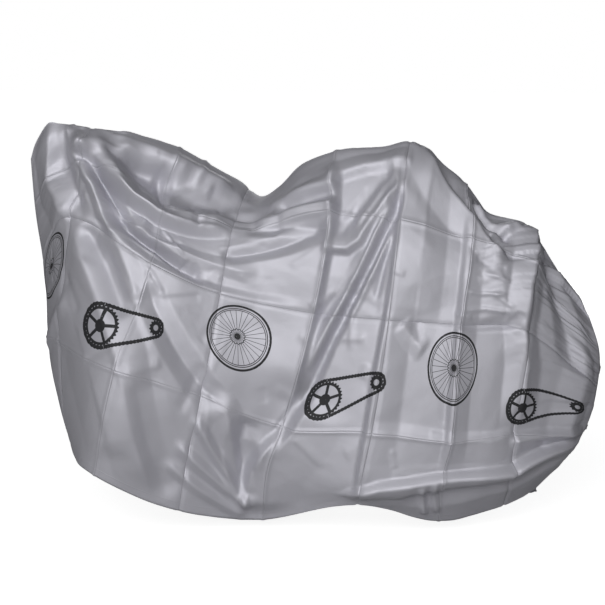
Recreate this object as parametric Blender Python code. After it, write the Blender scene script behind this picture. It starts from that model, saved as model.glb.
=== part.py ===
"""Bicycle cover: one bag of thin silver film, draped over what it covers. Metres, +Z up.

+X runs from the front of the cover to its rear and -Y is its near side. The tables give heights above
the floor. The finished object is moved so that the point which rests on the saddle is the origin.

A place on the film is given as (along, down): along from the front seam, down from the top fold, both
measured on the bag laid flat. down is positive on the near side and negative on the far side.
"""

import bmesh
import bpy
import numpy as np

# ------------------------------------------------------------------ driving dimensions
FLAT_LENGTH = 2.00  # one side laid flat, from the front seam to the rear seam
FLAT_DROP = 1.10  # one side laid flat, from the top fold to the hem
PACKING_PITCH = 0.25  # the packing creases that cross the bag lie this far apart
FILM = 0.0024  # thickness of the sheet
SADDLE_REST = (0.255, 0.0, 1.034)  # underside of the film where the saddle carries it
COLUMNS = 56  # faces from the front seam to the rear seam
ROWS = 26  # faces from the top fold to the hem, on each side

RIDGE_REACH = 0.24  # how far down each side the top fold's own shape is felt
END_FADE = 0.25  # share of a fold's path over which it rises from nothing
SMALLEST = 1e-12  # keeps a division whole at the two corners, where the film has no one direction

SILVER = (0.46, 0.46, 0.50, 1.0)
ROUGHNESS = 0.42
METALLIC = 0.25

# The top fold from the front corner of the bag to the rear one. It climbs to the front grip, falls
# along the bar, climbs over the saddle and runs down over the rack.
RIDGE = (
    # along    x      y      z
    (0.00, -0.757, -0.06, 0.985),
    (0.05, -0.733, -0.08, 1.038),
    (0.09, -0.695, -0.10, 1.084),
    (0.13, -0.662, -0.10, 1.084),
    (0.25, -0.583, -0.07, 1.070),
    (0.37, -0.466, -0.02, 1.046),
    (0.50, -0.366, 0.02, 1.010),
    (0.62, -0.277, 0.07, 0.956),
    (0.72, -0.211, 0.10, 0.916),
    (0.80, -0.152, 0.09, 0.879),
    (0.86, -0.098, 0.06, 0.914),
    (0.92, -0.040, 0.03, 0.968),
    (1.00, 0.060, 0.00, 1.010),
    (1.13, 0.180, 0.00, 1.023),
    (1.25, 0.255, 0.00, 1.036),
    (1.31, 0.295, 0.00, 1.024),
    (1.39, 0.342, 0.00, 0.978),
    (1.50, 0.405, 0.00, 0.928),
    (1.57, 0.438, 0.00, 0.884),
    (1.62, 0.466, 0.00, 0.852),
    (1.69, 0.546, 0.00, 0.826),
    (1.75, 0.581, 0.00, 0.796),
    (1.88, 0.646, 0.00, 0.699),
    (2.00, 0.732, 0.00, 0.581),
)

# Levels down one side, as distances from the top fold on the flat film.
LEVELS = {"shoulder": 0.20, "waist": 0.50, "skirt": 0.80, "turn": 0.95, "hem": FLAT_DROP}

# A row for each packing crease across the near side, front seam to rear seam: (x, y, z) at each level.
NEAR = (
    # shoulder             waist                 skirt                 turn                  hem
    ((-0.76, -0.03, 0.86), (-0.75, 0.00, 0.70), (-0.74, 0.03, 0.51), (-0.73, 0.05, 0.40), (-0.71, 0.06, 0.37)),
    ((-0.59, -0.14, 0.98), (-0.62, -0.16, 0.84), (-0.66, -0.17, 0.51), (-0.66, -0.16, 0.33), (-0.65, -0.13, 0.22)),
    ((-0.38, -0.14, 0.86), (-0.39, -0.23, 0.73), (-0.46, -0.31, 0.47), (-0.50, -0.31, 0.32), (-0.54, -0.29, 0.18)),
    ((-0.20, -0.11, 0.81), (-0.22, -0.19, 0.65), (-0.26, -0.25, 0.39), (-0.30, -0.24, 0.23), (-0.33, -0.22, 0.07)),
    ((0.06, -0.11, 0.85), (0.02, -0.16, 0.60), (-0.06, -0.18, 0.30), (-0.10, -0.17, 0.18), (-0.12, -0.13, 0.03)),
    ((0.24, -0.14, 0.84), (0.22, -0.18, 0.59), (0.18, -0.21, 0.30), (0.15, -0.21, 0.15), (0.14, -0.17, 0.10)),
    ((0.42, -0.12, 0.79), (0.40, -0.17, 0.58), (0.38, -0.19, 0.28), (0.36, -0.19, 0.17), (0.35, -0.10, 0.03)),
    ((0.58, -0.09, 0.72), (0.57, -0.13, 0.56), (0.54, -0.14, 0.29), (0.54, -0.14, 0.18), (0.52, -0.05, 0.07)),
    ((0.76, 0.00, 0.50), (0.76, 0.00, 0.39), (0.73, 0.00, 0.27), (0.69, 0.00, 0.20), (0.61, 0.00, 0.11)),
)

# The same creases across the far side. Its first and last rows are the seams, shared with NEAR.
FAR = (
    NEAR[0],
    ((-0.62, 0.03, 0.95), (-0.65, 0.11, 0.77), (-0.66, 0.19, 0.55), (-0.65, 0.21, 0.42), (-0.63, 0.21, 0.33)),
    ((-0.38, 0.13, 0.86), (-0.41, 0.22, 0.66), (-0.45, 0.28, 0.42), (-0.47, 0.30, 0.29), (-0.48, 0.29, 0.20)),
    ((-0.20, 0.18, 0.80), (-0.20, 0.22, 0.60), (-0.22, 0.25, 0.36), (-0.23, 0.25, 0.23), (-0.24, 0.23, 0.13)),
    ((0.05, 0.11, 0.88), (0.03, 0.17, 0.63), (0.00, 0.20, 0.36), (-0.01, 0.20, 0.21), (-0.02, 0.18, 0.10)),
    ((0.25, 0.13, 0.87), (0.24, 0.18, 0.61), (0.22, 0.21, 0.34), (0.21, 0.20, 0.19), (0.20, 0.18, 0.08)),
    ((0.42, 0.11, 0.79), (0.41, 0.16, 0.56), (0.40, 0.17, 0.30), (0.39, 0.16, 0.17), (0.38, 0.12, 0.07)),
    ((0.59, 0.08, 0.70), (0.58, 0.12, 0.54), (0.56, 0.13, 0.30), (0.55, 0.10, 0.19), (0.55, 0.05, 0.07)),
    NEAR[-1],
)

# The main folds, each along a path on the film. lift stands the crest out of the sheet at the start
# and the end of the path, and sinks it where it is negative. spread is the fold's half-width on the
# left and the right of someone who walks the path on the outside of the near film.
FOLDS = (
    # what it is        path: (along, down) pairs                                    lift             spread
    # fanning down the front from the grip
    ("fan ridge", ((0.08, 0.07), (0.14, 0.26), (0.22, 0.62)), (0.030, 0.018), (0.070, 0.070)),
    ("second fan ridge", ((0.16, 0.07), (0.25, 0.27), (0.33, 0.50)), (0.028, 0.022), (0.055, 0.060)),
    ("dark cleft", ((0.25, 0.14), (0.32, 0.30), (0.39, 0.41), (0.52, 0.45)), (-0.046, -0.036), (0.080, 0.085)),
    # the sagging roll from the grip to the saddle, and the crease under it
    ("shoulder roll", ((0.24, 0.10), (0.36, 0.22), (0.54, 0.23), (0.72, 0.20)), (0.042, 0.032), (0.110, 0.090)),
    ("waist crease", ((0.34, 0.50), (0.49, 0.52), (0.64, 0.53), (0.79, 0.52)), (0.024, 0.018), (0.065, 0.075)),
    ("top hollow", ((0.34, 0.11), (0.51, 0.13), (0.68, 0.13), (0.86, 0.16)), (-0.040, -0.026), (0.070, 0.075)),
    ("soft trough", ((0.70, 0.34), (0.85, 0.32), (0.99, 0.24)), (-0.024, -0.020), (0.070, 0.060)),
    # the lower front side
    ("front edge", ((0.50, 0.50), (0.52, 0.74), (0.54, 1.00)), (0.020, 0.014), (0.110, 0.080)),
    ("slack trough", ((0.56, 0.60), (0.69, 0.74), (0.77, 0.82), (0.90, 0.98)), (-0.040, -0.030), (0.085, 0.085)),
    # the pleat under the saddle, and the film dragged from the saddle to the pinch in the hem
    ("pleat edge", ((0.98, 0.08), (1.00, 0.31), (1.00, 0.57)), (0.030, 0.022), (0.050, 0.110)),
    ("pouch", ((1.26, 0.12), (1.17, 0.24), (1.08, 0.32), (0.98, 0.33)), (0.026, 0.020), (0.080, 0.075)),
    ("drag trough", ((1.20, 0.18), (1.14, 0.36), (1.08, 0.58), (1.00, 0.90)), (-0.038, -0.038), (0.090, 0.090)),
    ("saddle drop", ((1.26, 0.05), (1.25, 0.31), (1.24, 0.78), (1.25, 0.98)), (0.030, 0.028), (0.130, 0.065)),
    ("pinch hollow", ((0.92, 0.74), (0.93, 0.92), (0.94, 1.08)), (-0.034, -0.034), (0.085, 0.085)),
    ("pinch edge", ((1.12, 0.60), (1.08, 0.78), (1.03, 0.92), (0.97, 1.06)), (0.030, 0.026), (0.070, 0.060)),
    ("pinch ridge", ((0.70, 0.86), (0.82, 0.94), (0.93, 1.07)), (0.024, 0.022), (0.060, 0.060)),
    # the rear: one layer lapped over the rack, the rack's corner and the edge that turns under
    ("lapped edge", ((1.36, 0.00), (1.48, 0.10), (1.56, 0.15), (1.68, 0.28)), (0.026, 0.026), (0.060, 0.100)),
    ("rack pocket", ((1.55, -0.02), (1.62, 0.08), (1.68, 0.22)), (-0.030, -0.026), (0.075, 0.065)),
    ("rear panel", ((1.52, 0.14), (1.49, 0.34), (1.50, 0.62)), (0.018, 0.012), (0.070, 0.050)),
    ("rack corner", ((1.74, 0.02), (1.76, 0.21), (1.76, 0.62)), (0.034, 0.026), (0.070, 0.100)),
    ("rear strip", ((1.80, 0.06), (1.86, 0.20), (1.93, 0.44)), (-0.030, -0.022), (0.050, 0.055)),
    ("turned edge", ((1.20, 1.00), (1.47, 0.96), (1.70, 0.94), (1.88, 0.86)), (0.026, 0.020), (0.075, 0.090)),
    # the far side, fanning from the rear grip, the saddle and the rack, and drawn to its own pinch
    ("far front ridge", ((0.12, -0.08), (0.18, -0.35), (0.26, -0.70)), (0.030, 0.020), (0.070, 0.080)),
    ("far bar trough", ((0.50, -0.10), (0.48, -0.35), (0.42, -0.75)), (-0.040, -0.026), (0.090, 0.090)),
    ("far grip ridge", ((0.74, -0.05), (0.70, -0.30), (0.62, -0.66)), (0.036, 0.022), (0.065, 0.080)),
    ("far grip trough", ((0.77, -0.12), (0.77, -0.34), (0.76, -0.62)), (-0.030, -0.024), (0.060, 0.060)),
    ("far second ridge", ((0.80, -0.05), (0.86, -0.32), (0.96, -0.66)), (0.034, 0.020), (0.065, 0.080)),
    ("far nose ridge", ((1.12, -0.10), (1.06, -0.30), (0.92, -0.48)), (0.026, 0.016), (0.070, 0.070)),
    ("far drag trough", ((1.23, -0.08), (1.16, -0.36), (1.02, -0.82)), (-0.040, -0.028), (0.075, 0.075)),
    ("far saddle ridge", ((1.27, -0.08), (1.30, -0.40), (1.30, -0.88)), (0.032, 0.020), (0.080, 0.080)),
    ("far rack trough", ((1.60, -0.05), (1.58, -0.24), (1.50, -0.56)), (-0.036, -0.022), (0.065, 0.065)),
    ("far rack ridge", ((1.74, -0.04), (1.77, -0.28), (1.73, -0.64)), (0.034, 0.020), (0.070, 0.085)),
    ("far rear drag", ((1.96, -0.34), (1.74, -0.64), (1.46, -0.98)), (-0.022, -0.030), (0.075, 0.075)),
    ("far pinch front", ((0.60, -1.06), (0.52, -0.88), (0.38, -0.70)), (0.028, 0.018), (0.065, 0.065)),
    ("far pinch hollow", ((0.63, -1.07), (0.63, -0.90), (0.62, -0.72)), (-0.036, -0.022), (0.060, 0.060)),
    ("far pinch rear", ((0.66, -1.06), (0.76, -0.88), (0.88, -0.70)), (0.028, 0.018), (0.065, 0.065)),
)


# ------------------------------------------------------------------ curves through a few points
def slopes(knots, values):
    """The slope at each knot of a smooth curve through values."""
    step = np.diff(knots).reshape((-1,) + (1,) * (values.ndim - 1))
    slope = np.diff(values, axis=0) / step
    inner = (slope[:-1] * step[1:] + slope[1:] * step[:-1]) / (step[1:] + step[:-1])
    return np.concatenate([slope[:1], inner, slope[-1:]])


def smooth_curve(knots, values, at):
    """The smooth curve through values at knots, read at each place in at."""
    knots = np.asarray(knots, float)
    values = np.asarray(values, float)
    at = np.clip(at, knots[0], knots[-1])
    span = np.clip(np.searchsorted(knots, at, side="right") - 1, 0, len(knots) - 2)
    shape = (-1,) + (1,) * (values.ndim - 1)
    width = (knots[span + 1] - knots[span]).reshape(shape)
    t = (at - knots[span]).reshape(shape) / width
    slope = slopes(knots, values)
    rise = smoothstep(t)
    leaving = t**3 - 2 * t**2 + t
    arriving = t**3 - t**2
    line = (1 - rise) * values[span] + rise * values[span + 1]
    return line + width * (leaving * slope[span] + arriving * slope[span + 1])


def smoothstep(x):
    x = np.clip(x, 0.0, 1.0)
    return x * x * (3 - 2 * x)


# ------------------------------------------------------------------ the draped form
def section_net():
    """(along, down, points) of the tables: each crease from the far hem over the top to the near hem."""
    along = np.arange(len(NEAR)) * PACKING_PITCH
    depths = np.array(list(LEVELS.values()))
    down = np.concatenate([-depths[::-1], [0.0], depths])
    ridge = np.array(RIDGE)
    top = smooth_curve(ridge[:, 0], ridge[:, 1:], along)
    points = np.concatenate([np.array(FAR)[:, ::-1], top[:, None], np.array(NEAR)], axis=1)
    # The film runs on round each seam, so the net goes one crease past it, on the other side.
    points = np.concatenate([points[1:2, ::-1], points, points[-2:-1, ::-1]])
    along = np.concatenate([[-PACKING_PITCH], along, [FLAT_LENGTH + PACKING_PITCH]])
    return along, down, points


def smooth_form(along, down):
    """The bag without its folds, as a grid of points at every along and down."""
    net_along, net_down, net = section_net()
    sections = smooth_curve(net_along, net, along).transpose(1, 0, 2)
    points = smooth_curve(net_down, sections, down).transpose(1, 0, 2)
    ridge = np.array(RIDGE)
    plain_top = smooth_curve(net_down, sections, np.zeros(1))[0]
    detail = smooth_curve(ridge[:, 0], ridge[:, 1:], along) - plain_top
    felt = 1 - smoothstep(np.abs(down) / RIDGE_REACH)
    return points + detail[:, None, :] * felt[None, :, None]


def outward(points):
    """Unit normals of a grid of points, facing out of the bag."""
    normal = np.cross(np.gradient(points, axis=1), np.gradient(points, axis=0))
    return normal / np.maximum(np.linalg.norm(normal, axis=2, keepdims=True), SMALLEST)


def from_path(path, along, down):
    """Distance of each grid point from a path, positive on its right, and the share of the path run."""
    grid = np.stack(np.meshgrid(along, down, indexing="ij"), axis=-1)
    path = np.array(path, float)
    legs = np.diff(path, axis=0)
    lengths = np.linalg.norm(legs, axis=1)
    starts = np.concatenate([[0.0], np.cumsum(lengths)])
    nearest = np.full(grid.shape[:2], np.inf)
    signed = np.zeros(grid.shape[:2])
    run = np.zeros(grid.shape[:2])
    for leg, length, start, corner in zip(legs, lengths, starts, path):
        offset = grid - corner
        t = np.clip(offset @ leg / length**2, 0.0, 1.0)
        distance = np.linalg.norm(offset - t[..., None] * leg, axis=2)
        side = np.sign(leg[0] * offset[..., 1] - leg[1] * offset[..., 0])
        closer = distance < nearest
        nearest = np.where(closer, distance, nearest)
        signed = np.where(closer, side * distance, signed)
        run = np.where(closer, (start + t * length) / starts[-1], run)
    return signed, run


def fold_lift(fold, along, down):
    """How far one fold stands out of the sheet at each grid point."""
    _name, path, (lift_start, lift_end), (left, right) = fold
    signed, run = from_path(path, along, down)
    spread = np.where(signed > 0, right, left)
    crest = smoothstep(1 - np.abs(signed) / spread)
    ends = smoothstep(np.minimum(run, 1 - run) / END_FADE)
    return (lift_start + (lift_end - lift_start) * run) * crest * ends


def draped_form(along, down):
    """The bag with its main folds."""
    points = smooth_form(along, down)
    lift = sum(fold_lift(fold, along, down) for fold in FOLDS)
    return points + outward(points) * lift[..., None]


# ------------------------------------------------------------------ the solid sheet
def cover_mesh(name):
    """The outside of the bag as one surface, open along the hem."""
    along = np.linspace(0.0, FLAT_LENGTH, COLUMNS + 1)
    down = np.linspace(-FLAT_DROP, FLAT_DROP, 2 * ROWS + 1)
    points = draped_form(along, down) - np.array(SADDLE_REST)
    mesh = bmesh.new()
    made = {}

    def corner(i, j):
        # The two sides share the vertices of both seams.
        if i in (0, COLUMNS):
            j = max(j, 2 * ROWS - j)
        if (i, j) not in made:
            made[i, j] = mesh.verts.new(points[i, j])
        return made[i, j]

    for i in range(COLUMNS):
        for j in range(2 * ROWS):
            mesh.faces.new((corner(i, j), corner(i, j + 1), corner(i + 1, j + 1), corner(i + 1, j)))
    data = bpy.data.meshes.new(name)
    mesh.to_mesh(data)
    mesh.free()
    data.shade_smooth()
    return data


def silver_film():
    material = bpy.data.materials.new("silver film")
    material.use_nodes = True
    shader = material.node_tree.nodes["Principled BSDF"]
    shader.inputs["Base Color"].default_value = SILVER
    shader.inputs["Roughness"].default_value = ROUGHNESS
    shader.inputs["Metallic"].default_value = METALLIC
    return material


def main():
    for leftover in list(bpy.data.objects):
        bpy.data.objects.remove(leftover, do_unlink=True)
    cover = bpy.data.objects.new("cover", cover_mesh("cover"))
    bpy.context.scene.collection.objects.link(cover)
    cover.data.materials.append(silver_film())
    film = cover.modifiers.new("Film", "SOLIDIFY")
    film.thickness = FILM
    film.offset = -1.0


main()
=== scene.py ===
# %% [markdown]
# # A silver film cover, draped
#
# This is a big flat bag of thin plastic film: two side panels, joined along a fold at the top and a
# seam at each end, open below. It hangs over three supports, at the front, in the middle and at the
# rear, which are not built here. So all of its shape comes from how film falls between those three.
#
# Such a sheet could be simulated from flat, but the result would crumple wherever the solver likes.
# Here the form is laid out from a few sections, and each main fold is a path drawn on the
# flat bag, so it can be put where it belongs.

import math

import bmesh
import bpy
import numpy as np
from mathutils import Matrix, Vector


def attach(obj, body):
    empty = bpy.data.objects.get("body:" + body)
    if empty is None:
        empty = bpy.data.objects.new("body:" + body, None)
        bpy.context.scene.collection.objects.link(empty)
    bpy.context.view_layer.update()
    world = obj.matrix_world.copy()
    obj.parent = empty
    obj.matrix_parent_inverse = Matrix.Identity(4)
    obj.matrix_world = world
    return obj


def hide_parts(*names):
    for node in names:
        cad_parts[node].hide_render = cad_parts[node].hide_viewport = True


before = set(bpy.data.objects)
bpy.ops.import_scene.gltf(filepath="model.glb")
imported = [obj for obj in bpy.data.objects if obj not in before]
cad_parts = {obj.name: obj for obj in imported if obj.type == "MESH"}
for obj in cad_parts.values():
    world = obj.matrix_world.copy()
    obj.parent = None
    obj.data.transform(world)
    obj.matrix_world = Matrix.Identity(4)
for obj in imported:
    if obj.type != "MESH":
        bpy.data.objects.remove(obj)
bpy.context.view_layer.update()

# %% [markdown]
# ## Places on the film
#
# Every place on the bag is named by two lengths on the bag laid flat: `along` from the front seam to
# the rear one, and `down` from the top fold to the hem. `down` counts up on the near side and down on
# the far side, so one flat grid wraps the whole bag.

# %% Sizes of the bag
FLAT_LENGTH = 2.00
FLAT_DROP = 1.10
PACKING_PANELS = 8
PACKING_PITCH = FLAT_LENGTH / PACKING_PANELS
REST_POINT = np.array((0.255, 0.0, 1.034))
HEM_TURNED = 0.022
HEM_GAP = 0.0015
SEAM_FADE = 0.05

COLUMNS = 330
NEAR_ROWS = 196
FAR_ROWS = 98
print("flat bag: %.2f metres long and %.2f down each side" % (FLAT_LENGTH, FLAT_DROP))

# %% [markdown]
# ## The top fold
#
# The top fold of the bag is the line that the eye reads first. It climbs to the front support, sinks,
# climbs over the middle one and runs down over the rear one. Heights are above the floor.

# %% The line of the top fold
RIDGE = (
    # along    x      y      z
    (0.00, -0.757, -0.06, 0.985),
    (0.05, -0.733, -0.08, 1.038),
    (0.09, -0.695, -0.10, 1.084),
    (0.13, -0.662, -0.10, 1.084),
    (0.25, -0.583, -0.07, 1.070),
    (0.37, -0.466, -0.02, 1.046),
    (0.50, -0.366, 0.02, 1.010),
    (0.62, -0.277, 0.07, 0.956),
    (0.72, -0.211, 0.10, 0.916),
    (0.80, -0.152, 0.09, 0.879),
    (0.86, -0.098, 0.06, 0.914),
    (0.92, -0.040, 0.03, 0.968),
    (1.00, 0.060, 0.00, 1.010),
    (1.13, 0.180, 0.00, 1.023),
    (1.25, 0.255, 0.00, 1.036),
    (1.31, 0.295, 0.00, 1.024),
    (1.39, 0.342, 0.00, 0.978),
    (1.50, 0.405, 0.00, 0.928),
    (1.57, 0.438, 0.00, 0.884),
    (1.62, 0.466, 0.00, 0.852),
    (1.69, 0.546, 0.00, 0.826),
    (1.75, 0.581, 0.00, 0.796),
    (1.88, 0.646, 0.00, 0.699),
    (2.00, 0.732, 0.00, 0.581),
)
RIDGE_REACH = 0.24
print("top fold: %d points, the highest %.2f metres up" % (len(RIDGE), max(row[3] for row in RIDGE)))

# %% [markdown]
# ## The two sides
#
# The bag was packed folded, which left a crease across it every quarter of a metre. Those creases are
# handy ribs: each row of the tables is one of them, with where it lies at five levels down the side.

# %% The ribs of both sides
LEVELS = {"shoulder": 0.20, "waist": 0.50, "skirt": 0.80, "turn": 0.95, "hem": FLAT_DROP}

NEAR = (
    # shoulder, waist, skirt
    # turn, hem
    ((-0.76, -0.03, 0.86), (-0.75, 0.00, 0.70), (-0.74, 0.03, 0.51),
     (-0.73, 0.05, 0.40), (-0.71, 0.06, 0.37)),
    ((-0.59, -0.14, 0.98), (-0.62, -0.16, 0.84), (-0.66, -0.17, 0.51),
     (-0.66, -0.16, 0.33), (-0.65, -0.13, 0.22)),
    ((-0.38, -0.14, 0.86), (-0.39, -0.23, 0.73), (-0.46, -0.31, 0.47),
     (-0.50, -0.31, 0.32), (-0.54, -0.29, 0.18)),
    ((-0.20, -0.11, 0.81), (-0.22, -0.19, 0.65), (-0.26, -0.25, 0.39),
     (-0.30, -0.24, 0.23), (-0.33, -0.22, 0.07)),
    ((0.06, -0.11, 0.85), (0.02, -0.16, 0.60), (-0.06, -0.18, 0.30),
     (-0.10, -0.17, 0.18), (-0.12, -0.13, 0.03)),
    ((0.24, -0.14, 0.84), (0.22, -0.18, 0.59), (0.18, -0.21, 0.30),
     (0.15, -0.21, 0.15), (0.14, -0.17, 0.10)),
    ((0.42, -0.12, 0.79), (0.40, -0.17, 0.58), (0.38, -0.19, 0.28),
     (0.36, -0.19, 0.17), (0.35, -0.10, 0.03)),
    ((0.58, -0.09, 0.72), (0.57, -0.13, 0.56), (0.54, -0.14, 0.29),
     (0.54, -0.14, 0.18), (0.52, -0.05, 0.07)),
    ((0.76, 0.00, 0.50), (0.76, 0.00, 0.39), (0.73, 0.00, 0.27),
     (0.69, 0.00, 0.20), (0.61, 0.00, 0.11)),
)
FAR = (
    NEAR[0],
    ((-0.62, 0.03, 0.95), (-0.65, 0.11, 0.77), (-0.66, 0.19, 0.55),
     (-0.65, 0.21, 0.42), (-0.63, 0.21, 0.33)),
    ((-0.38, 0.13, 0.86), (-0.41, 0.22, 0.66), (-0.45, 0.28, 0.42),
     (-0.47, 0.30, 0.29), (-0.48, 0.29, 0.20)),
    ((-0.20, 0.18, 0.80), (-0.20, 0.22, 0.60), (-0.22, 0.25, 0.36),
     (-0.23, 0.25, 0.23), (-0.24, 0.23, 0.13)),
    ((0.05, 0.11, 0.88), (0.03, 0.17, 0.63), (0.00, 0.20, 0.36),
     (-0.01, 0.20, 0.21), (-0.02, 0.18, 0.10)),
    ((0.25, 0.13, 0.87), (0.24, 0.18, 0.61), (0.22, 0.21, 0.34),
     (0.21, 0.20, 0.19), (0.20, 0.18, 0.08)),
    ((0.42, 0.11, 0.79), (0.41, 0.16, 0.56), (0.40, 0.17, 0.30),
     (0.39, 0.16, 0.17), (0.38, 0.12, 0.07)),
    ((0.59, 0.08, 0.70), (0.58, 0.12, 0.54), (0.56, 0.13, 0.30),
     (0.55, 0.10, 0.19), (0.55, 0.05, 0.07)),
    NEAR[-1],
)
print("ribs: %d on each side, %d levels down" % (len(NEAR), len(LEVELS)))

# %% [markdown]
# ## Smooth curves through a few points
#
# A thin film has no corners of its own, so the ribs are joined by a smooth curve through their points.
# Blender's own curves would do, but this one is read at any place on the flat bag in one call.


# %% A smooth curve
def smoothstep(x):
    x = np.clip(x, 0.0, 1.0)
    return x * x * (3 - 2 * x)


def smooth_curve(knots, values, at):
    """The smooth curve through values at knots, read at each place in at."""
    knots = np.asarray(knots, float)
    values = np.asarray(values, float)
    tail = (1,) * (values.ndim - 1)
    step = np.diff(knots).reshape((-1,) + tail)
    leg = np.diff(values, axis=0) / step
    inner = (leg[:-1] * step[1:] + leg[1:] * step[:-1]) / (step[1:] + step[:-1])
    slope = np.concatenate([leg[:1], inner, leg[-1:]])
    at = np.clip(at, knots[0], knots[-1])
    span = np.clip(np.searchsorted(knots, at, side="right") - 1, 0, len(knots) - 2)
    width = (knots[span + 1] - knots[span]).reshape((-1,) + tail)
    t = (at - knots[span]).reshape((-1,) + tail) / width
    rise = smoothstep(t)
    line = (1 - rise) * values[span] + rise * values[span + 1]
    leaving = t**3 - 2 * t**2 + t
    arriving = t**3 - t**2
    return line + width * (leaving * slope[span] + arriving * slope[span + 1])


# %% The bag without its folds
def smooth_form(along, down):
    """A grid of points, one for each along and down."""
    ridge = np.array(RIDGE)
    rib_along = np.arange(len(NEAR)) * PACKING_PITCH
    depths = np.array(list(LEVELS.values()))
    rib_down = np.concatenate([-depths[::-1], [0.0], depths])
    top = smooth_curve(ridge[:, 0], ridge[:, 1:], rib_along)
    ribs = np.concatenate([np.array(FAR)[:, ::-1], top[:, None], np.array(NEAR)], axis=1)
    # The film runs on round each seam, so the ribs go one crease past it, on the other side.
    ribs = np.concatenate([ribs[1:2, ::-1], ribs, ribs[-2:-1, ::-1]])
    rib_along = np.concatenate([[-PACKING_PITCH], rib_along, [FLAT_LENGTH + PACKING_PITCH]])
    sections = smooth_curve(rib_along, ribs, along).transpose(1, 0, 2)
    points = smooth_curve(rib_down, sections, down).transpose(1, 0, 2)
    plain_top = smooth_curve(rib_down, sections, np.zeros(1))[0]
    detail = smooth_curve(ridge[:, 0], ridge[:, 1:], along) - plain_top
    felt = 1 - smoothstep(np.abs(down) / RIDGE_REACH)
    return points + detail[:, None, :] * felt[None, :, None]


def outward(points):
    """Unit normals of a grid of points, facing out of the bag."""
    normal = np.cross(np.gradient(points, axis=1), np.gradient(points, axis=0))
    return normal / np.maximum(np.linalg.norm(normal, axis=2, keepdims=True), 1e-12)


# %% [markdown]
# ## Folds
#
# A fold in film is a straight, tight line that starts where something holds the film and fades where
# the pull ends. So each fold is a short path on the flat bag. `lift` is how far its crest stands out
# at the start, in the middle and at the end of the path, and it sinks where the number is negative.
# `spread` is how wide the fold is on the left and right of someone walking the path: a narrow side
# next to a wide one makes a lapped pleat. `crisp` runs from 0, a soft roll, to 1, a hard crease.

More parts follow.
